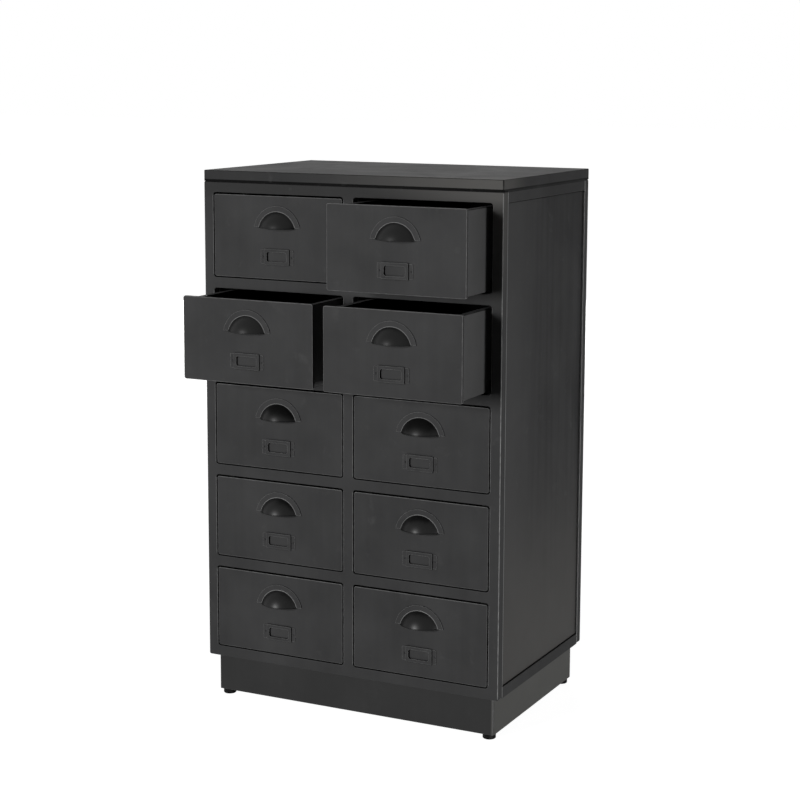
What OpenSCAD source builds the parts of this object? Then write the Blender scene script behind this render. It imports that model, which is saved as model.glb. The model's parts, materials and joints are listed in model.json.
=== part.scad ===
// Metal drawer cabinet: two columns of folded-sheet drawers in a square-section frame,
// on a set-back plinth. Origin at the middle of the footprint, on the floor; the fronts face -Y.

/* [Cabinet] */
// Overall width, left to right
cabinet_w = 600; // [500:10:760]
// Overall depth, front to back
cabinet_d = 400; // [340:10:500]
// Rows of drawers
rows = 5; // [2:1:5]
// Height of one drawer opening
opening_h = 156; // [148:2:200]

/* [Frame] */
// Side of the square frame section
frame_w = 20; // [18:1:28]
// Rounding of the frame's outer edges
frame_edge_r = 2.5; // [1.5:0.5:4]
// Corner radius of each drawer opening
opening_corner_r = 5.5; // [4:0.5:8]
// Rounding of the front edge of each drawer opening
opening_edge_r = 1.5; // [0.8:0.1:2.5]

/* [Top and panels] */
// Height of the folded top
top_h = 20; // [16:1:30]
// Sheet of the top
top_sheet = 1.5; // [1:0.1:2.5]
// Inward flange under the top, which lies on the frame
top_flange = 16; // [10:1:24]
// Sheet of the side, back and bottom panels
panel_sheet = 1.2; // [0.8:0.1:2]
// Depth that the side panels lie behind the frame's face
panel_recess = 3; // [1:0.5:6]
// Shadow gap round each side panel
panel_gap = 0.8; // [0.4:0.1:0.9]
// Depth of the side panels' folded edges
panel_fold = 12; // [8:1:16]
// Margin of the back panel inside the frame's outline
back_margin = 4; // [2:1:12]

/* [Plinth and feet] */
// Height of the plinth
plinth_h = 70; // [50:5:100]
// Distance that the plinth lies behind the frame's faces
plinth_inset = 14; // [5:1:16]
// Sheet of the plinth
plinth_sheet = 2; // [1.5:0.1:3]
// Inward flanges of the plinth
plinth_flange = 30; // [28:1:40]
// Height of the feet
foot_h = 10; // [6:1:20]
// Radius of the feet
foot_r = 12; // [8:0.5:13]

/* [Drawers] */
// Running gap at the sides of a drawer front
drawer_gap = 2; // [1.5:0.1:3]
// Running gap above a drawer front
drawer_top_gap = 3; // [2:0.1:4]
// Clear space behind a closed drawer
back_space = 14; // [8:1:30]
// Sheet of the drawer front
front_sheet = 1.2; // [0.8:0.1:2]
// Depth of the folded drawer front
front_fold = 6; // [5:0.5:12]
// Rear flange of the folded front, which lies on the box
front_flange = 20; // [16:1:28]
// Corner radius of the drawer front
front_corner_r = 4; // [3:0.5:6]
// Rounding of the folds of the drawer front
front_edge_r = 1.8; // [1:0.1:2.5]
// Sheet of the drawer box
box_sheet = 1; // [0.8:0.1:1.5]
// From the front's side edges in to the box
box_inset = 10; // [6:0.5:12]
// From the front's upper edge down to the box
box_drop = 4; // [2:0.5:8]
// Inward lips along the top of the box
box_lip = 12; // [6:1:18]
// Thickness of the closed hem at the lips
lip_t = 2; // [1.5:0.1:3]
// Bend radius of the drawer box
box_bend_r = 2; // [1.5:0.1:3]

/* [Runners] */
// Sheet of the runners
runner_t = 1.6; // [1.2:0.1:2.5]
// Width of the leg under the drawer box
runner_leg = 18; // [12:1:24]
// Height of the guide beside the drawer box
runner_guide = 22; // [14:1:30]
// Clearance between the runner and the drawer
runner_clear = 0.3; // [0.2:0.1:0.8]

/* [Cup pull] */
// Width of the bowl
bowl_w = 77; // [60:1:90]
// Height of the bowl where it meets the flange
bowl_h = 30; // [22:0.5:32]
// Reach of the bowl from the front, at its lower edge
bowl_reach = 23; // [16:0.5:26]
// Sheet of the pull
pull_sheet = 1.5; // [1:0.1:2]
// Flange round the bowl
pull_flange = 9; // [6:0.5:10]
// Blend between the bowl and the flange
pull_blend_r = 2; // [1:0.1:3]
// Radius of the rolled rim under the bowl
rim_r = 1.3; // [1.2:0.1:1.8]
// From the top of the drawer front down to the rim
pull_drop = 57; // [46:1:62]

/* [Label holder] */
// Width of the raised holder
holder_w = 52; // [44:1:60]
// Height of the raised holder
holder_h = 28.5; // [26:0.5:34]
// Height that the holder stands off the front
holder_rise = 3.4; // [2.4:0.1:4.5]
// Sheet of the holder
holder_sheet = 0.9; // [0.6:0.1:1.1]
// Width of the border round the window
holder_border = 5.5; // [4:0.5:7]
// Corner radius of the window
window_r = 4; // [2:0.5:6]
// Length of the ears at both ends
ear_l = 8; // [7:0.5:10]
// Height of the ears
ear_h = 26; // [12:0.5:26]
// From the top of the drawer front down to the holder
holder_drop = 96; // [88:1:104]
// Radius of the rivet heads
rivet_r = 1.9; // [1.4:0.1:2.4]
// Height of the rivet heads
rivet_h = 1.1; // [0.8:0.1:1.4]

/* [Drawers pulled out] */
// How far the right drawer of row 1 is out
open_1_right = 101; // [0:1:250]
// How far the left drawer of row 2 is out
open_2_left = 108; // [0:1:250]
// How far the right drawer of row 2 is out
open_2_right = 114; // [0:1:250]

/* [Hidden] */
$fn = 48;
// How far a cut runs past the face that it opens
past = 1;

frame_z = foot_h + plinth_h;
frame_h = rows * (opening_h + frame_w) + frame_w;
top_z = frame_z + frame_h;

sides = ["left", "right"];
columns = len(sides);
opening_w = (cabinet_w - (columns + 1) * frame_w) / columns;

// The back panel lies on the rear frame, inside the cabinet's depth
back_y = cabinet_d / 2 - panel_sheet;
rear_frame_y = back_y - frame_w;
front_frame_y = -cabinet_d / 2 + frame_w;

// The drawer stands on its runners, so its lower gap holds the runner and its clearance
drawer_seat = runner_t + runner_clear;
drawer_w = opening_w - 2 * drawer_gap;
drawer_h = opening_h - drawer_top_gap - drawer_seat;
drawer_d = rear_frame_y + cabinet_d / 2 - back_space;
box_w = drawer_w - 2 * box_inset;
box_h = drawer_h - box_drop;
box_d = drawer_d - front_fold;
// From the opening's side in to the box
side_space = (opening_w - box_w) / 2;

// The bowl's outline on the front is an arc over a chord: its radius, and its centre below the chord
bowl_r = (bowl_w * bowl_w / 4 + bowl_h * bowl_h) / (2 * bowl_h);
bowl_c = bowl_r - bowl_h;
// The bowl is a piece of a ball: how far the ball's centre lies behind the front, and its radius
ball_back = (bowl_w * bowl_w / 4 - bowl_reach * bowl_reach) / (2 * bowl_reach);
ball_r = sqrt(bowl_r * bowl_r + ball_back * ball_back);

metal = "#3b3b3d";
sheet_metal = "#353536";
pull_metal = "#1f1f20";
bare_metal = "#2b2b2c";
black_plastic = "#141414";

pieces = ["front", "box", "pull", "label_holder", "rivets"];
function drawer_node(row, side, piece) = str("drawer_", row, "_", side, "_", piece);

function opening_x(column) = (column - (columns - 1) / 2) * (opening_w + frame_w);
function opening_z(row) = top_z - row * (opening_h + frame_w);
function pulled_out(row, side) =
    row == 1 && side == "right" ? open_1_right :
    row == 2 && side == "left" ? open_2_left :
    row == 2 && side == "right" ? open_2_right : 0;

// ---- Plates and pans: outline in XY, thickness up Z, outer face at the top ----

module rounded_rect(w, h, r) {
    square([w - 2 * r, h], center = true);
    square([w, h - 2 * r], center = true);
    for (x = [-1, 1], y = [-1, 1]) translate([x * (w / 2 - r), y * (h / 2 - r)]) circle(r);
}

// Section of a plate whose two upper edges are rounded
module plate_section(w, t, edge_r) {
    translate([-w / 2, 0]) square([w, t - edge_r]);
    translate([-w / 2 + edge_r, 0]) square([w - 2 * edge_r, t]);
    for (x = [-1, 1]) translate([x * (w / 2 - edge_r), t - edge_r]) circle(edge_r);
}

module right_half(size) {
    intersection() {
        children();
        translate([0, -size]) square([size, 3 * size]);
    }
}

module plate(w, h, t, corner_r, edge_r) {
    rotate([90, 0, 0]) linear_extrude(h - 2 * corner_r, center = true) plate_section(w, t, edge_r);
    rotate([90, 0, 90]) linear_extrude(w - 2 * corner_r, center = true) plate_section(h, t, edge_r);
    for (x = [-1, 1], y = [-1, 1])
        translate([x * (w / 2 - corner_r), y * (h / 2 - corner_r), 0])
            rotate_extrude() right_half(2 * t) plate_section(2 * corner_r, t, edge_r);
}

// Section of a hole through a plate, widening at the upper face by a rounded edge
module hole_section(w, t, edge_r) {
    translate([-w / 2, -past]) square([w, t + 2 * past]);
    difference() {
        translate([-w / 2 - edge_r, t - edge_r]) square([w + 2 * edge_r, edge_r + past]);
        for (x = [-1, 1]) translate([x * (w / 2 + edge_r), t - edge_r]) circle(edge_r);
    }
}

module hole(w, h, t, corner_r, edge_r) {
    rotate([90, 0, 0]) linear_extrude(h - 2 * corner_r, center = true) hole_section(w, t, edge_r);
    rotate([90, 0, 90]) linear_extrude(w - 2 * corner_r, center = true) hole_section(h, t, edge_r);
    for (x = [-1, 1], y = [-1, 1])
        translate([x * (w / 2 - corner_r), y * (h / 2 - corner_r), 0])
            rotate_extrude() right_half(2 * t) hole_section(2 * corner_r, t, edge_r);
}

// Folded sheet tray, face up, with its flanges turned in underneath
module pan(w, h, depth, sheet, flange, corner_r, edge_r) {
    difference() {
        plate(w, h, depth, corner_r, edge_r);
        translate([0, 0, sheet])
            linear_extrude(depth - 2 * sheet) rounded_rect(w - 2 * sheet, h - 2 * sheet, corner_r - sheet);
        translate([0, 0, -past])
            linear_extrude(sheet + 2 * past) square([w - 2 * flange, h - 2 * flange], center = true);
    }
}

// ---- Carcass ----

// Welded grid of square section, ground flush, with one opening per drawer
module face_frame() {
    color(metal)
        translate([0, front_frame_y, frame_z + frame_h / 2]) rotate([90, 0, 0])
            difference() {
                plate(cabinet_w, frame_h, frame_w, 1.4 * frame_edge_r, frame_edge_r);
                for (column = [0:columns - 1], row = [1:rows])
                    translate([opening_x(column), opening_z(row) + opening_h / 2 - frame_z - frame_h / 2, 0])
                        hole(opening_w, opening_h, frame_w, opening_corner_r, opening_edge_r);
            }
}

// Rear frame with a middle upright for the inner runners, and the four rails to the face frame
module rear_frame() {
    bay_h = frame_h - 2 * frame_w;
    rail_l = rear_frame_y - front_frame_y;
    color(metal) {
        translate([0, rear_frame_y, frame_z + frame_h / 2]) rotate([90, 0, 180])
            difference() {
                plate(cabinet_w, frame_h, frame_w, 1.4 * frame_edge_r, frame_edge_r);
                for (column = [0:columns - 1])
                    translate([opening_x(column), 0, -past])
                        linear_extrude(frame_w + 2 * past)
                            rounded_rect(opening_w, bay_h, opening_corner_r);
            }
        for (x = [-1, 1], z = [frame_z, top_z - frame_w])
            translate([x * (cabinet_w - frame_w) / 2, front_frame_y + rail_l / 2, z + frame_w / 2])
                cube([frame_w, rail_l, frame_w], center = true);
    }
}

module top_panel() {
    color(metal)
        translate([0, 0, top_z])
            pan(cabinet_w, cabinet_d, top_h, top_sheet, top_flange, 2 * top_sheet, top_sheet);
}

// Recessed panel, folded in at its edges; direction is 1 for the right side and -1 for the left
module side_panel(direction) {
    panel_w = rear_frame_y - front_frame_y - 2 * panel_gap;
    panel_h = frame_h - 2 * frame_w - 2 * panel_gap;
    color(sheet_metal)
        translate([
            direction * (cabinet_w / 2 - panel_recess - panel_fold),
            (rear_frame_y + front_frame_y) / 2,
            frame_z + frame_h / 2
        ])
            rotate([90, 0, direction * 90])
                difference() {
                    plate(panel_w, panel_h, panel_fold, 2 * panel_sheet, panel_sheet);
                    translate([0, 0, -past])
                        linear_extrude(panel_fold - panel_sheet + past)
                            square([panel_w - 2 * panel_sheet, panel_h - 2 * panel_sheet], center = true);
                }
}

module back_panel() {
    color(sheet_metal)
        translate([0, back_y, frame_z + frame_h / 2]) rotate([-90, 0, 0])
            linear_extrude(panel_sheet)
                rounded_rect(cabinet_w - 2 * back_margin, frame_h - 2 * back_margin, frame_edge_r);
}

// Floor of the carcass, between the lower rails, lying on the plinth's flange
module bottom_panel() {
    panel_w = cabinet_w - 2 * frame_w - 2 * panel_gap;
    panel_d = rear_frame_y - front_frame_y - 2 * panel_gap;
    color(sheet_metal)
        translate([-panel_w / 2, front_frame_y + panel_gap, frame_z]) cube([panel_w, panel_d, panel_sheet]);
}

module plinth() {
    plinth_w = cabinet_w - 2 * plinth_inset;
    plinth_d = cabinet_d - 2 * plinth_inset;
    corner_r = 2 * plinth_sheet;
    color(metal)
        translate([0, 0, foot_h])
            difference() {
                linear_extrude(plinth_h) rounded_rect(plinth_w, plinth_d, corner_r);
                translate([0, 0, plinth_sheet])
                    linear_extrude(plinth_h - 2 * plinth_sheet)
                        rounded_rect(plinth_w - 2 * plinth_sheet, plinth_d - 2 * plinth_sheet, corner_r / 2);
                translate([0, 0, -past])
                    linear_extrude(plinth_h + 2 * past)
                        square([plinth_w - 2 * plinth_flange, plinth_d - 2 * plinth_flange], center = true);
            }
}

// Moulded glides under the corners of the plinth
module feet() {
    inset = plinth_inset + plinth_sheet + foot_r;
    bevel = foot_h / 8;
    color(black_plastic)
        for (x = [-1, 1], y = [-1, 1])
            translate([x * (cabinet_w / 2 - inset), y * (cabinet_d / 2 - inset), 0])
                rotate_extrude()
                    polygon([
                        [0, 0], [foot_r - bevel, 0], [foot_r, bevel],
                        [foot_r, foot_h - bevel], [foot_r - bevel, foot_h], [0, foot_h]
                    ]);
}

// Runner along Y: a web on the frame, a leg under the drawer box, and a guide beside it
module runner(length) {
    guide_x = side_space - runner_clear - runner_t;
    rotate([-90, 0, 0])
        linear_extrude(length)
            polygon([
                [-runner_t, 0], [side_space + runner_leg, 0], [side_space + runner_leg, -runner_t],
                [guide_x + runner_t, -runner_t], [guide_x + runner_t, -runner_guide],
                [guide_x, -runner_guide], [guide_x, -runner_t],
                [0, -runner_t], [0, -runner_guide], [-runner_t, -runner_guide]
            ]);
}

module drawer_runners() {
    color(bare_metal)
        for (column = [0:columns - 1], row = [1:rows], flip = [0, 1])
            translate([opening_x(column), front_frame_y, opening_z(row)])
                mirror([flip, 0, 0])
                    translate([-opening_w / 2, 0, 0]) runner(rear_frame_y - front_frame_y);
}

// ---- Drawers: X from the middle, Y back from the front's face, Z up from its lower edge ----

module drawer_front() {
    color(metal)
        translate([0, front_fold, drawer_h / 2]) rotate([90, 0, 0])
            pan(drawer_w, drawer_h, front_fold, front_sheet, front_flange, front_corner_r, front_edge_r);
}

// Folded box with hemmed lips along its top; its front wall closes the folded front
module drawer_box() {
    inner_w = box_w - 2 * box_sheet;
    inner_d = box_d - 2 * box_sheet;
    color(bare_metal)
        translate([0, front_fold, 0])
            difference() {
                translate([0, 0, box_h / 2]) rotate([-90, 0, 0])
                    linear_extrude(box_d) rounded_rect(box_w, box_h, box_bend_r);
                translate([-inner_w / 2, box_sheet, box_sheet])
                    cube([inner_w, inner_d, box_h - box_sheet - lip_t]);
                translate([-box_w / 2 + box_lip, box_sheet, box_h - lip_t - past])
                    cube([box_w - 2 * box_lip, box_d - box_sheet - box_lip, lip_t + 2 * past]);
            }
}

// The ball that the bowl is a piece of, with its chord on the front's face along X
module bowl_ball(grow) {
    translate([0, ball_back, -bowl_c]) sphere(ball_r + grow, $fn = 96);
}

// What lies before the front's face and above the chord
module above_rim() {
    intersection() {
        children();
        translate([-bowl_w, -bowl_w, 0]) cube([2 * bowl_w, bowl_w, bowl_w]);
    }
}

// Pressed cup: a piece of a ball, open below, with a flange on the front and a rolled rim
module drawer_pull() {
    color(pull_metal)
        translate([0, 0, drawer_h - pull_drop]) {
            difference() {
                above_rim() {
                    bowl_ball(0);
                    translate([0, 0, -bowl_c]) rotate([90, 0, 0])
                        cylinder(h = pull_sheet, r = bowl_r + pull_flange, $fn = 96);
                    pull_blend();
                }
                bowl_ball(-pull_sheet);
            }
            pull_rim();
        }
}

// Hollow fillet where the bowl rises from the flange
module pull_blend() {
    middle = pull_sheet + pull_blend_r;
    middle_x = sqrt(pow(ball_r + pull_blend_r, 2) - pow(ball_back + middle, 2));
    share = (ball_r - pull_sheet / 2) / (ball_r + pull_blend_r);
    translate([0, 0, -bowl_c]) rotate([90, 0, 0])
        rotate_extrude($fn = 96)
            difference() {
                polygon([
                    [share * middle_x, 0], [middle_x, 0], [middle_x, middle],
                    [share * middle_x, share * (ball_back + middle) - ball_back]
                ]);
                translate([middle_x, middle]) circle(pull_blend_r);
            }
}

// Rolled rim along the lower edge of the bowl, centred on its sheet
module pull_rim() {
    rim_ring = sqrt(pow(ball_r - pull_sheet / 2, 2) - bowl_c * bowl_c);
    intersection() {
        translate([0, ball_back, 0])
            rotate_extrude($fn = 96) translate([rim_ring, 0]) circle(rim_r, $fn = 24);
        translate([-bowl_w, -bowl_w, -bowl_w]) cube([2 * bowl_w, bowl_w, 2 * bowl_w]);
    }
}

// Pressed frame for a paper label, which slides in from the right
module drawer_label_holder() {
    window_w = holder_w - 2 * holder_border;
    window_h = holder_h - 2 * holder_border;
    color(metal)
        translate([0, 0, drawer_h - holder_drop - holder_h / 2]) rotate([90, 0, 0])
            difference() {
                union() {
                    plate(holder_w, holder_h, holder_rise, 2 * holder_sheet, holder_sheet);
                    linear_extrude(holder_sheet) rounded_rect(holder_w + 2 * ear_l, ear_h, 2 * holder_sheet);
                }
                translate([-holder_w / 2 + holder_sheet, -holder_h / 2 + holder_sheet, -past])
                    cube([holder_w - 2 * holder_sheet, holder_h - 2 * holder_sheet, past + holder_rise - holder_sheet]);
                translate([0, -holder_h / 2 + holder_sheet, holder_sheet])
                    cube([holder_w, holder_h - 2 * holder_sheet, holder_rise - 2 * holder_sheet]);
                linear_extrude(holder_rise + past) rounded_rect(window_w, window_h, window_r);
            }
}

// Domed heads that hold the ears to the front
module drawer_rivets() {
    dome_r = (rivet_r * rivet_r + rivet_h * rivet_h) / (2 * rivet_h);
    color(bare_metal)
        for (x = [-1, 1])
            translate([
                x * (holder_w + ear_l) / 2, -holder_sheet, drawer_h - holder_drop - holder_h / 2
            ])
                rotate([90, 0, 0])
                    rotate_extrude($fn = 24)
                        intersection() {
                            translate([0, rivet_h - dome_r]) circle(dome_r);
                            square([rivet_r, rivet_h]);
                        }
}

module at_drawer(row, column) {
    translate([
        opening_x(column),
        -cabinet_d / 2 - pulled_out(row, sides[column]),
        opening_z(row) + drawer_seat
    ])
        children();
}

face_frame();
rear_frame();
top_panel();
side_panel(-1);  // left_side_panel
side_panel(1);  // right_side_panel
back_panel();
bottom_panel();
plinth();
feet();
drawer_runners();

for (row = [1:rows], column = [0:columns - 1]) {
    side = sides[column];
    at_drawer(row, column) drawer_front();
    at_drawer(row, column) drawer_box();
    at_drawer(row, column) drawer_pull();
    at_drawer(row, column) drawer_label_holder();
    at_drawer(row, column) drawer_rivets();
}
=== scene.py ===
import json
import math

import bpy
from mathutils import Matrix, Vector


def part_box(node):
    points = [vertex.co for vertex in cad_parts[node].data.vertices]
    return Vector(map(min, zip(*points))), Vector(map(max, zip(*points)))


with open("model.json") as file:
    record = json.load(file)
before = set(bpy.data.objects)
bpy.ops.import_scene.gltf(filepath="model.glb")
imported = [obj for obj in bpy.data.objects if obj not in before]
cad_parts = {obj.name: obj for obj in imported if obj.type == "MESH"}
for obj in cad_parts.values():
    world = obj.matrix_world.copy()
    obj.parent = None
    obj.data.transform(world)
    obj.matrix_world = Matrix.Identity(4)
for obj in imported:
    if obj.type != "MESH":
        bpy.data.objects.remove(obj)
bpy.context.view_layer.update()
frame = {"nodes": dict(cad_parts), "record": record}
nodes = frame["nodes"]
print("cabinet loaded:", len(nodes), "nodes")


# small helpers for shader trees; a value may be a number, a colour or another node's output
def feed(tree, slot, value):
    if isinstance(value, bpy.types.NodeSocket):
        tree.links.new(value, slot)
    else:
        slot.default_value = value


def addNode(tree, kind, place, **values):
    node = tree.nodes.new("ShaderNode" + kind)
    node.location = place
    for name, value in values.items():
        if name in node.inputs:
            feed(tree, node.inputs[name], value)
        else:
            setattr(node, name, value)
    return node


def mathNode(tree, place, operation, *values):
    node = addNode(tree, "Math", place, operation=operation)
    for slot, value in zip(node.inputs, values):
        feed(tree, slot, value)
    return node.outputs[0]


def vectorNode(tree, place, operation, *values):
    node = addNode(tree, "VectorMath", place, operation=operation)
    for slot, value in zip(node.inputs, values):
        feed(tree, slot, value)
    return node.outputs["Value" if operation in ("DOT_PRODUCT", "LENGTH") else "Vector"]


def splitVector(tree, place, value):
    return addNode(tree, "SeparateXYZ", place, Vector=value).outputs


def rangeNode(tree, place, value, start=0.0, end=1.0, low=0.0, high=1.0, steps="LINEAR"):
    # start to end becomes low to high, and stays there beyond both
    node = addNode(tree, "MapRange", place, interpolation_type=steps, Value=value)
    for name, limit in (("From Min", start), ("From Max", end), ("To Min", low), ("To Max", high)):
        feed(tree, node.inputs[name], limit)
    return node.outputs[0]


def mixColor(tree, place, mask, base, tint):
    # a colour mix has its factor, its two colours and its result in these slots
    node = addNode(tree, "Mix", place, data_type="RGBA")
    for slot, value in ((0, mask), (6, base), (7, tint)):
        feed(tree, node.inputs[slot], value)
    return node.outputs[2]


def onSolid(tree, place):
    # places on the solid itself, so that a pattern moves with its drawer
    return addNode(tree, "TexCoord", place).outputs["Object"]


def rgba(color):
    return (*color, 1)


def newGroup(name, inputs, outputs):
    group = bpy.data.node_groups.new(name, "ShaderNodeTree")
    for label, kind, value in inputs:
        socket = group.interface.new_socket(
            name=label, in_out="INPUT", socket_type="NodeSocket" + kind)
        socket.default_value = value
    for label, kind in outputs:
        group.interface.new_socket(name=label, in_out="OUTPUT", socket_type="NodeSocket" + kind)
    start = group.nodes.new("NodeGroupInput")
    start.location = (-900, 0)
    end = group.nodes.new("NodeGroupOutput")
    end.location = (600, 0)
    return group, start.outputs, end.inputs


def useGroup(tree, group, place, values):
    node = tree.nodes.new("ShaderNodeGroup")
    node.node_tree = group
    node.location = place
    for name, value in values.items():
        node.inputs[name].default_value = value
    return node.outputs


# effects that several finishes share
toneLook = {"streakStretch": (1.0, 1.0, 0.05), "spread": (0.25, 0.75), "noiseMiddle": 0.5}


def makePaintTone(look):
    # slow patches and long faint rolling streaks in the sprayed colour
    group, start, end = newGroup(
        "paintTone",
        [("Dark", "Color", (0.03, 0.03, 0.03, 1)), ("Light", "Color", (0.06, 0.06, 0.06, 1)),
         ("Patch Scale", "Float", 5.0), ("Streak Scale", "Float", 60.0), ("Streak", "Float", 0.3)],
        [("Color", "Color")])
    coords = onSolid(group, (-900, -300))
    patches = addNode(group, "TexNoise", (-500, 200), Vector=coords, Scale=start["Patch Scale"],
                      Detail=4.0, Roughness=0.55)
    stretched = addNode(group, "Mapping", (-700, -300), Vector=coords, Scale=look["streakStretch"])
    streaks = addNode(group, "TexNoise", (-500, -300), Vector=stretched.outputs[0],
                      Scale=start["Streak Scale"], Detail=3.0, Roughness=0.6)
    wave = mathNode(group, (-300, -300), "SUBTRACT", streaks.outputs[0], look["noiseMiddle"])
    wave = mathNode(group, (-120, -300), "MULTIPLY", wave, start["Streak"])
    blend = mathNode(group, (60, 0), "ADD", patches.outputs[0], wave)
    spread = rangeNode(group, (220, 0), blend, *look["spread"])
    feed(group, end["Color"], mixColor(group, (400, 0), spread, start["Dark"], start["Light"]))
    return group


def makeCoatRelief():
    # the fine orange peel of sprayed enamel with a little sheet waviness under it
    group, start, end = newGroup(
        "coatRelief",
        [("Peel Scale", "Float", 900.0), ("Wave Scale", "Float", 9.0), ("Wave", "Float", 0.5)],
        [("Height", "Float")])
    coords = onSolid(group, (-900, -300))
    peel = addNode(group, "TexNoise", (-500, 200), Vector=coords, Scale=start["Peel Scale"],
                   Detail=2.0)
    wave = addNode(group, "TexNoise", (-500, -200), Vector=coords, Scale=start["Wave Scale"],
                   Detail=1.0)
    slow = mathNode(group, (-200, -200), "MULTIPLY", wave.outputs[0], start["Wave"])
    feed(group, end["Height"], mathNode(group, (100, 0), "ADD", peel.outputs[0], slow))
    return group


markLook = {"spread": (0.3, 0.7)}


def makeHandMarks(look):
    # wiped and handled places, which shine a little differently
    group, start, end = newGroup(
        "handMarks",
        [("Scale", "Float", 14.0), ("Low", "Float", 0.4), ("High", "Float", 0.55)],
        [("Roughness", "Float")])
    smears = addNode(group, "TexNoise", (-500, 0), Vector=onSolid(group, (-900, -300)),
                     Scale=start["Scale"], Detail=5.0, Roughness=0.65, Distortion=0.8)
    rough = rangeNode(group, (0, 0), smears.outputs[0], *look["spread"], start["Low"], start["High"])
    feed(group, end["Roughness"], rough)
    return group


# bend and slope: how far a normal agrees with its bevelled self, or with an axis, from unmarked to
# fully marked
edgeWearAndPaintedLightLook = {"bend": (0.995, 0.88), "slope": (0.96, 0.8), "levelTilt": 0.2, "samples": 6}


def makeEdgeWearAndPaintedLight(look):
    # folds and edges, tinted partly as rubbed thin coat and partly as a painted highlight (a painted
    # dark line on the top): sharp ones by a bevel, modelled ones by slope
    group, start, end = newGroup(
        "edgeWearAndPaintedLight",
        [("Width", "Float", 0.0015), ("Break Scale", "Float", 120.0), ("Amount", "Float", 1.0),
         ("Level Edges", "Float", 1.0)],
        [("Mask", "Float")])
    rounded = addNode(group, "Bevel", (-700, 200), samples=look["samples"], Radius=start["Width"])
    normal = addNode(group, "NewGeometry", (-900, -100)).outputs["Normal"]
    facing = vectorNode(group, (-450, 200), "DOT_PRODUCT", rounded.outputs[0], normal)
    bend = rangeNode(group, (-250, 200), facing, *look["bend"])
    split = splitVector(group, (-550, -100), vectorNode(group, (-700, -100), "ABSOLUTE", normal))
    most = mathNode(group, (-400, -50), "MAXIMUM", split["X"], split["Y"])
    most = mathNode(group, (-300, -100), "MAXIMUM", most, split["Z"])
    slope = rangeNode(group, (-150, -100), most, *look["slope"])
    # edges that run level turn their bevelled normal up or down; upright ones don't
    turned = splitVector(group, (-450, 450), rounded.outputs[0])
    tilt = mathNode(group, (-250, 450), "ABSOLUTE", turned["Z"])
    level = rangeNode(group, (-100, 450), tilt, 0.0, look["levelTilt"], 1.0, start["Level Edges"])
    breaks = addNode(group, "TexNoise", (-500, -400), Vector=onSolid(group, (-900, -400)),
                     Scale=start["Break Scale"], Detail=3.0)
    edgeShare = mathNode(group, (0, 0), "MAXIMUM", bend, slope)
    for step, share in enumerate((level, breaks.outputs[0], start["Amount"])):
        edgeShare = mathNode(group, (120 + 120 * step, 0), "MULTIPLY", edgeShare, share)
    feed(group, end["Mask"], edgeShare)
    return group


creviceShadeLook = {"shade": (0.78, 0.4), "samples": 6}


def makePaintedCreviceShade(look):
    # painted shade: near-black in seams, gaps and inner corners narrower than the reach, where shade
    # falls
    group, start, end = newGroup(
        "paintedCreviceShade",
        [("Reach", "Float", 0.008), ("Amount", "Float", 1.0)],
        [("Mask", "Float")])
    shade = addNode(
        group, "AmbientOcclusion", (-600, 0), samples=look["samples"], Distance=start["Reach"])
    depth = rangeNode(group, (-300, 0), shade.outputs["AO"], *look["shade"])
    feed(group, end["Mask"], mathNode(group, (0, 0), "MULTIPLY", depth, start["Amount"]))
    return group


dustLook = {"facesUp": 0.6}


def makeDustFilm(look):
    # a thin film of dust on what faces up
    group, start, end = newGroup(
        "dustFilm",
        [("Scale", "Float", 20.0), ("Amount", "Float", 0.3)],
        [("Mask", "Float")])
    normal = addNode(group, "NewGeometry", (-900, 200)).outputs["Normal"]
    up = rangeNode(group, (-450, 200), splitVector(group, (-700, 200), normal)["Z"], look["facesUp"])
    cloud = addNode(group, "TexNoise", (-600, -200), Vector=onSolid(group, (-900, -200)),
                    Scale=start["Scale"], Detail=6.0, Roughness=0.7)
    film = mathNode(group, (-200, 0), "MULTIPLY", up, cloud.outputs[0])
    feed(group, end["Mask"], mathNode(group, (0, 0), "MULTIPLY", film, start["Amount"]))
    return group


scuffLook = {"spots": (0.62, 0.8)}


def makeScuffMarks(look):
    # small knocks and smudges from years of use, a little paler than the coat
    group, start, end = newGroup(
        "scuffMarks",
        [("Scale", "Float", 40.0), ("Amount", "Float", 0.5)],
        [("Mask", "Float")])
    knocks = addNode(group, "TexNoise", (-600, 0), Vector=onSolid(group, (-900, 0)),
                     Scale=start["Scale"], Detail=3.0, Roughness=0.6, Distortion=0.3)
    spots = rangeNode(group, (-300, 0), knocks.outputs[0], *look["spots"])
    feed(group, end["Mask"], mathNode(group, (0, 0), "MULTIPLY", spots, start["Amount"]))
    return group


def makeSlowDrift():
    # a change of tone across a sheet, from 0 at the start to 1 where the way along reaches 1; the
    # finishes use it for painted highlights, painted shade and painted shadow lines
    group, start, end = newGroup(
        "slowDrift",
        [("Start", "Vector", (0, 0, 0)), ("Along", "Vector", (0, 0, 0))],
        [("Mask", "Float")])
    offset = vectorNode(group, (-600, 0), "SUBTRACT", onSolid(group, (-900, -300)), start["Start"])
    share = vectorNode(group, (-400, 0), "DOT_PRODUCT", offset, start["Along"])
    feed(group, end["Mask"], rangeNode(group, (-200, 0), share, steps="SMOOTHSTEP"))
    return group


paintTone = makePaintTone(toneLook)
coatRelief = makeCoatRelief()
handMarks = makeHandMarks(markLook)
edgeWearAndPaintedLight = makeEdgeWearAndPaintedLight(edgeWearAndPaintedLightLook)
paintedCreviceShade = makePaintedCreviceShade(creviceShadeLook)
dustFilm = makeDustFilm(dustLook)
scuffMarks = makeScuffMarks(scuffLook)
slowDrift = makeSlowDrift()
print("shared effects made")


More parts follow.
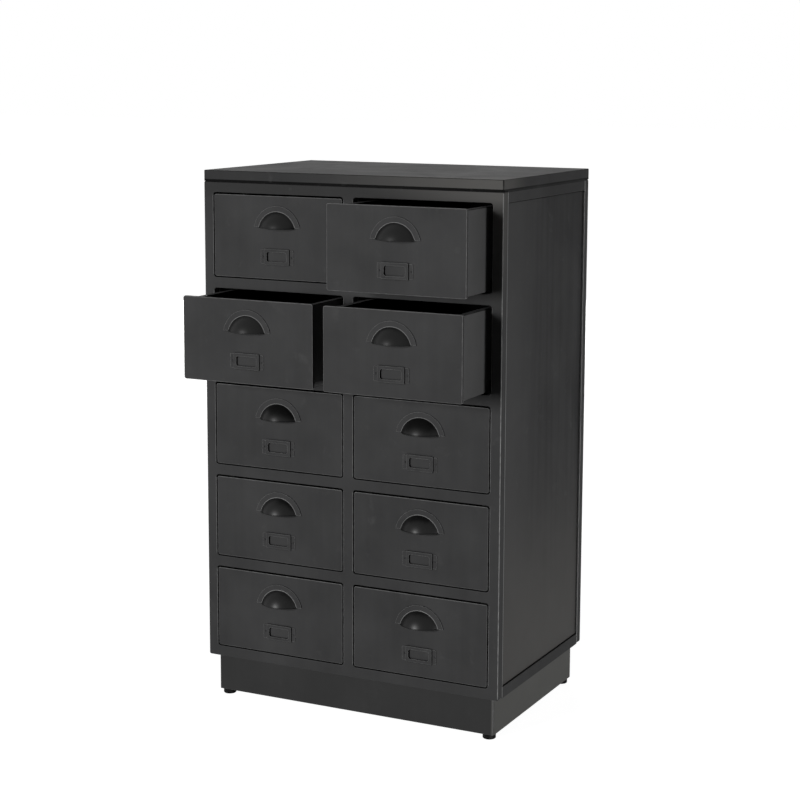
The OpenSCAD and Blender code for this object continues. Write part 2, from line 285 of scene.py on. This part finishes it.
def makePaint(name, look):
    material = bpy.data.materials.new(name)
    material.use_nodes = True
    tree = material.node_tree
    shader = tree.nodes["Principled BSDF"]
    shader.inputs["Metallic"].default_value = 0.0
    shader.inputs["Specular IOR Level"].default_value = look["gloss"]
    color = useGroup(tree, paintTone, (-900, 400), {
        "Dark": rgba(look["dark"]), "Light": rgba(look["light"]), "Patch Scale": look["patchScale"],
        "Streak Scale": look["streakScale"], "Streak": look["streak"]})["Color"]
    for step, (origin, along, tint) in enumerate(look["drifts"]):
        mask = useGroup(
            tree, slowDrift, (-900, 600 + 200 * step), {"Start": origin, "Along": along})["Mask"]
        color = mixColor(tree, (-700 + 60 * step, 500), mask, color, rgba(tint))
    wearAndPaintedLightLayers = [  # each lies over the ones before it
        (scuffMarks, look["scuffColor"], {"Scale": look["scuffScale"], "Amount": look["scuff"]}),
        (edgeWearAndPaintedLight, look["edgeWearAndPaintedLightColor"], {"Width": look["edgeWearAndPaintedLightWidth"], "Break Scale": look["edgeWearAndPaintedLightBreaks"],
                                     "Amount": look["edgeWearAndPaintedLightAmount"], "Level Edges": look["levelEdges"]}),
        (dustFilm, look["dustColor"], {"Scale": look["dustScale"], "Amount": look["dust"]}),
        (paintedCreviceShade, look["creviceShadeColor"], {"Reach": look["creviceShadeReach"], "Amount": look["creviceShade"]}),
    ]
    for step, (effect, tint, values) in enumerate(wearAndPaintedLightLayers):
        mask = useGroup(tree, effect, (-900, 150 - 200 * step), values)["Mask"]
        color = mixColor(tree, (-440 + 110 * step, 300), mask, color, rgba(tint))
    feed(tree, shader.inputs["Base Color"], color)
    marks = useGroup(tree, handMarks, (-900, -650), {
        "Scale": look["markScale"], "Low": look["roughLow"], "High": look["roughHigh"]})
    feed(tree, shader.inputs["Roughness"], marks["Roughness"])
    relief = useGroup(tree, coatRelief, (-900, -850), {
        "Peel Scale": look["peelScale"], "Wave Scale": look["waveScale"], "Wave": look["wave"]})
    bump = addNode(tree, "Bump", (-300, -400), Strength=look["bump"], Distance=look["bumpDepth"],
                   Height=relief["Height"])
    feed(tree, shader.inputs["Normal"], bump.outputs[0])
    return material


# drifts: where a change of tone starts, its way along (one over the distance it takes) and its colour;
# each paints light or shade across a sheet
paintLook = {
    "dark": (0.037, 0.037, 0.0375), "light": (0.052, 0.052, 0.0525), "patchScale": 9.0,
    "streakScale": 55.0, "streak": 0.3, "drifts": [],
    "scuffScale": 30.0, "scuff": 0.35, "scuffColor": (0.08, 0.08, 0.08),
    "edgeWearAndPaintedLightWidth": 0.0012, "edgeWearAndPaintedLightBreaks": 90.0, "edgeWearAndPaintedLightAmount": 1.8, "edgeWearAndPaintedLightColor": (0.13, 0.13, 0.13),
    "levelEdges": 0.6,
    "dustScale": 24.0, "dust": 0.1, "dustColor": (0.16, 0.155, 0.15),
    "creviceShadeReach": 0.006, "creviceShade": 1.0, "creviceShadeColor": (0.001, 0.001, 0.001),
    "markScale": 9.0, "roughLow": 0.42, "roughHigh": 0.52, "gloss": 0.02,
    "peelScale": 900.0, "waveScale": 7.0, "wave": 0.8, "bump": 0.12, "bumpDepth": 0.0004,
}
railLook = {**paintLook, "edgeWearAndPaintedLightColor": (0.3, 0.3, 0.3), "edgeWearAndPaintedLightWidth": 0.002, "levelEdges": 0.1}
# painted shadow lines: near-black where the rails meet the top
seamShadowColor = (0.001, 0.001, 0.001)
railSeamShadow = ((0, 0, 0.9775), (0, 0, 1000), seamShadowColor)  # where the rails meet the top
finishes = {
    # side rails, with painted shade darker towards the back and a painted shadow line where they meet
    # the top
    "frame_paint": makePaint("charcoalRails", {
        **railLook, "drifts": [((0, -0.15, 0), (0, 6, 0), (0.03, 0.03, 0.0305)), railSeamShadow]}),
    # painted sheen paler towards the front right corner, a painted shadow line along its lower edge
    # and painted dark lines along its edges
    "top_paint": makePaint("charcoalTop", {
        **paintLook, "dark": (0.03, 0.03, 0.0305), "light": (0.036, 0.036, 0.0365), "dust": 0.15,
        "edgeWearAndPaintedLightColor": (0.008, 0.008, 0.008), "levelEdges": 1.0,
        "drifts": [((-0.14, -0.2, 0), (2.3, -8, 0), (0.09, 0.088, 0.084)),
                   ((0, 0, 0.984), (0, 0, -1000), seamShadowColor)]}),
    # recessed panels, with painted light paler low down and towards the front
    "side_paint": makePaint("charcoalSide", {
        **paintLook, "dark": (0.024, 0.024, 0.0245), "light": (0.036, 0.036, 0.0365),
        "patchScale": 8.0, "streak": 1.2, "wave": 1.4, "edgeWearAndPaintedLightAmount": 0.3, "creviceShadeReach": 0.002,
        "drifts": [((0, 0.02, 0), (0, -5, 0), (0.056, 0.056, 0.0565)),
                   ((0, 0, 0.55), (0, 0, -2.2), (0.085, 0.083, 0.08))]}),
    # the plinth's right side gets a paler painted highlight
    "plinth_paint": makePaint("charcoalPlinth", {
        **paintLook, "dark": (0.033, 0.033, 0.033), "light": (0.04, 0.04, 0.04), "scuff": 0.1,
        "drifts": [((0.28, 0, 0), (200, 0, 0), (0.11, 0.11, 0.105))]}),
    # painted highlights along the fronts' edges
    "front_paint": makePaint("charcoalFront", {
        **paintLook, "edgeWearAndPaintedLightColor": (0.2, 0.2, 0.2), "levelEdges": 1.0}),
    # the box is a paler copy of the front's paint, painted light on its sides
    "box_paint": makePaint("charcoalBox", {
        **paintLook, "dark": (0.085, 0.085, 0.0855), "light": (0.105, 0.105, 0.1055), "dust": 0.0}),
    "runner_paint": makePaint("charcoalRunner", {
        **paintLook, "dark": (0.008, 0.008, 0.008), "light": (0.012, 0.012, 0.012), "edgeWearAndPaintedLightAmount": 0.2}),
    # painted highlights along the holders' edges
    "holder_paint": makePaint("charcoalHolder", {
        **paintLook, "patchScale": 30.0, "edgeWearAndPaintedLightColor": (0.17, 0.17, 0.17), "levelEdges": 1.0}),
    "pull_enamel": makePaint("blackPull", {
        **paintLook, "dark": (0.004, 0.004, 0.004), "light": (0.006, 0.006, 0.006),
        "roughLow": 0.32, "roughHigh": 0.4, "gloss": 0.17, "bump": 0.04, "dust": 0.0,
        "scuff": 0.0, "edgeWearAndPaintedLightAmount": 0.0, "creviceShadeReach": 0.002}),
    "rivet_metal": makePaint("charcoalRivet", {**paintLook, "patchScale": 80.0, "edgeWearAndPaintedLightAmount": 0.0}),
    "foot_plastic": makePaint("blackGlide", {
        **paintLook, "dark": (0.008, 0.008, 0.008), "light": (0.012, 0.012, 0.012),
        "roughLow": 0.5, "roughHigh": 0.65, "edgeWearAndPaintedLightColor": (0.03, 0.03, 0.03), "dust": 0.0}),
}
boxInsideShade = makePaint("paintedShadeBoxInside", {
    **paintLook, "dark": (0.003, 0.003, 0.003), "light": (0.005, 0.005, 0.005), "edgeWearAndPaintedLightAmount": 0.0,
    "scuff": 0.0, "dust": 0.0})
pullRootHighlight = makePaint("paintedHighlightPullRoot", {
    **paintLook, "dark": (0.12, 0.12, 0.12), "light": (0.2, 0.2, 0.2), "patchScale": 40.0,
    "roughLow": 0.26, "roughHigh": 0.34, "gloss": 0.3, "bump": 0.04, "edgeWearAndPaintedLightAmount": 0.0, "creviceShade": 0.0})
# the top rail is painted darker, with a painted sheen near the right corner; the frame's rear edge has
# a painted highlight line, and a painted shadow line runs where the rails meet the top
faceFrame = makePaint("charcoalFaceFrame", {
    **railLook, "creviceShadeReach": 0.009,
    "drifts": [((0, 0, 0.94), (0, 0, 40), (0.033, 0.033, 0.033)),
               ((0.05, -0.2, 0.935), (3.5, -20, 4), (0.085, 0.083, 0.08)),
               ((0, -0.1825, 0), (0, 800, 0), (0.22, 0.22, 0.22)),
               railSeamShadow]})
# a painted highlight line along the rear uprights' front edge
rearUprights = makePaint("charcoalRearUprights", {
    **railLook, "drifts": [((0, 0.1815, 0), (0, -800, 0), (0.35, 0.35, 0.35))]})
print("paints mixed")

slotOfNode = {part["node"]: part["material_slot"] for part in frame["record"]["subparts"]}
for name, node in nodes.items():
    node.data.materials.clear()
    node.data.materials.append(faceFrame if name == "face_frame" else finishes[slotOfNode[name]])


def paintFaces(node, material, chosen):
    node.data.materials.append(material)
    slot = len(node.data.materials) - 1
    for face in node.data.polygons:
        if chosen(face.center):
            face.material_index = slot


# the bowl is a ball's shell; back and below are from the flange's back and its lower edge
pullLook = {
    "ballRadius": 0.04479, "ballBack": 0.02072, "ballBelow": 0.0084, "bowlMargin": 0.00015,
    "flangeDepth": 0.0016, "rootDepth": 0.0025, "rootMargin": 0.001,
}


def paintFlange(node, look):
    # only the bowl is black: the flange has the front's paint, and the root between them gets a pale
    # painted highlight
    low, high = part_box(node.name)
    ball = Vector(((low[0] + high[0]) / 2, high[1] + look["ballBack"], low[2] - look["ballBelow"]))

    def outside(spot):
        return (spot - ball).length - look["ballRadius"]

    def onFlange(spot):
        return outside(spot) > look["bowlMargin"] and high[1] - spot.y < look["flangeDepth"]

    def onRoot(spot):
        return (abs(outside(spot)) < look["rootMargin"]
                and look["flangeDepth"] < high[1] - spot.y < look["rootDepth"])

    paintFaces(node, finishes["front_paint"], onFlange)
    paintFaces(node, pullRootHighlight, onRoot)


boxLook = {"outerSkin": 0.0003}


def paintInsideShade(node, look):
    # the walls and floor inside a drawer box get near-black painted shade; its lips and outer faces
    # keep the box paint
    low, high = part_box(node.name)
    skin = look["outerSkin"]
    paintFaces(node, boxInsideShade, lambda spot: all(
        low[axis] + skin < spot[axis] < high[axis] - skin for axis in range(3)))


uprightLook = {"front": 0.177}


def paintUprights(node, look):
    # the rear uprights get a painted highlight along their front edge; the side rails in the same node
    # don't
    paintFaces(node, rearUprights, lambda spot: spot.y > look["front"])


paintUprights(nodes["rear_frame"], uprightLook)
for name, node in nodes.items():
    if name.endswith("_pull"):
        paintFlange(node, pullLook)
    if name.endswith("_box"):
        paintInsideShade(node, boxLook)
print("finishes on", len(nodes), "nodes")


def seenDirectly(tree, place):
    # 1 for what the camera, a reflection or a glass pane sees, 0 for what lights the object
    left, height = place
    path = addNode(tree, "LightPath", place).outputs
    seen = mathNode(
        tree, (left + 200, height), "MAXIMUM", path["Is Camera Ray"], path["Is Glossy Ray"])
    return mathNode(tree, (left + 350, height), "MAXIMUM", seen, path["Is Transmission Ray"])


stageLook = {
    "floorSize": 30.0, "floorColor": (0.35, 0.35, 0.35), "floorRoughness": 0.9,
    "floorWhite": 0.95, "shadowReach": (0.4, 1.4), "ambient": 0.02,
}


def makeFloor(look):
    size = look["floorSize"]
    corners = [(-size, -size, 0), (size, -size, 0), (size, size, 0), (-size, size, 0)]
    mesh = bpy.data.meshes.new("studioFloor")
    mesh.from_pydata(corners, [], [(0, 1, 2, 3)])
    floor = bpy.data.objects.new("studioFloor", mesh)
    bpy.context.scene.collection.objects.link(floor)
    material = bpy.data.materials.new("whiteFloor")
    material.use_nodes = True
    tree = material.node_tree
    shader = tree.nodes["Principled BSDF"]
    shader.inputs["Base Color"].default_value = rgba(look["floorColor"])
    shader.inputs["Roughness"].default_value = look["floorRoughness"]
    shader.inputs["Specular IOR Level"].default_value = 0.0
    shader.inputs["Emission Color"].default_value = (1, 1, 1, 1)
    # a little below white round the object, so that its shadow shows there
    reach = vectorNode(tree, (-800, -500), "LENGTH", onSolid(tree, (-1000, -500)))
    white = rangeNode(
        tree, (-600, -500), reach, *look["shadowReach"], low=look["floorWhite"], steps="SMOOTHSTEP")
    glow = mathNode(tree, (-200, -300), "MULTIPLY", seenDirectly(tree, (-700, -300)), white)
    feed(tree, shader.inputs["Emission Strength"], glow)
    mesh.materials.append(material)


def makeWorld(look):
    world = bpy.data.worlds.new("studioWorld")
    bpy.context.scene.world = world
    world.use_nodes = True
    tree = world.node_tree
    background = tree.nodes["Background"]
    background.inputs["Color"].default_value = (1, 1, 1, 1)
    strength = rangeNode(tree, (-300, 0), seenDirectly(tree, (-900, 0)), low=look["ambient"])
    feed(tree, background.inputs["Strength"], strength)


# the back lamp stays below the top, or its grazing reflection turns the top white
lamps = {
    "keyLeft": {"place": (-2.9, -7.7, 1.6), "aim": (0, 0, 0.5), "size": (1.4, 2.8), "watts": 600},
    "sideRight": {"place": (2.3, -0.1, 0.4), "aim": (0, 0, 0.4), "size": (0.5, 0.5), "watts": 17},
    "backLeft": {"place": (-3.0, 5.2, 0.45), "aim": (0, 0, 0.45), "size": (1.8, 0.9), "watts": 260},
    "topBack": {"place": (1.6, 2.2, 3.4), "aim": (0, 0, 0.9), "size": (1.8, 1.8), "watts": 3},
}


def makeLamp(name, look):
    data = bpy.data.lights.new(name, "AREA")
    data.shape = "RECTANGLE"
    data.size, data.size_y = look["size"]
    data.energy = look["watts"]
    lamp = bpy.data.objects.new(name, data)
    lamp.location = look["place"]
    towards = Vector(look["aim"]) - Vector(look["place"])
    lamp.rotation_euler = towards.to_track_quat("-Z", "Y").to_euler()
    bpy.context.scene.collection.objects.link(lamp)


# fitted to the photograph's corners; angles are in degrees
cameraLook = {
    "place": (1.584, -3.149, 1.199), "yaw": 26.68, "pitch": -8.84, "roll": -0.21,
    "imagePixels": 800.0, "focalPixels": 1892.7, "centerRow": 355.0, "sensorWidth": 36.0,
}


def makeCamera(look):
    pixels = look["imagePixels"]
    data = bpy.data.cameras.new("photoCamera")
    data.sensor_width = look["sensorWidth"]
    data.lens = look["focalPixels"] * look["sensorWidth"] / pixels
    data.shift_y = (look["centerRow"] - pixels / 2) / pixels
    camera = bpy.data.objects.new("photoCamera", data)
    camera.location = look["place"]
    camera.rotation_euler = [
        math.radians(angle) for angle in (90 + look["pitch"], look["roll"], look["yaw"])]
    bpy.context.scene.collection.objects.link(camera)
    bpy.context.scene.camera = camera


makeFloor(stageLook)
makeWorld(stageLook)
for lampName, lampLook in lamps.items():
    makeLamp(lampName, lampLook)
makeCamera(cameraLook)
bpy.context.scene.view_settings.view_transform = "Standard"
print("stage set")
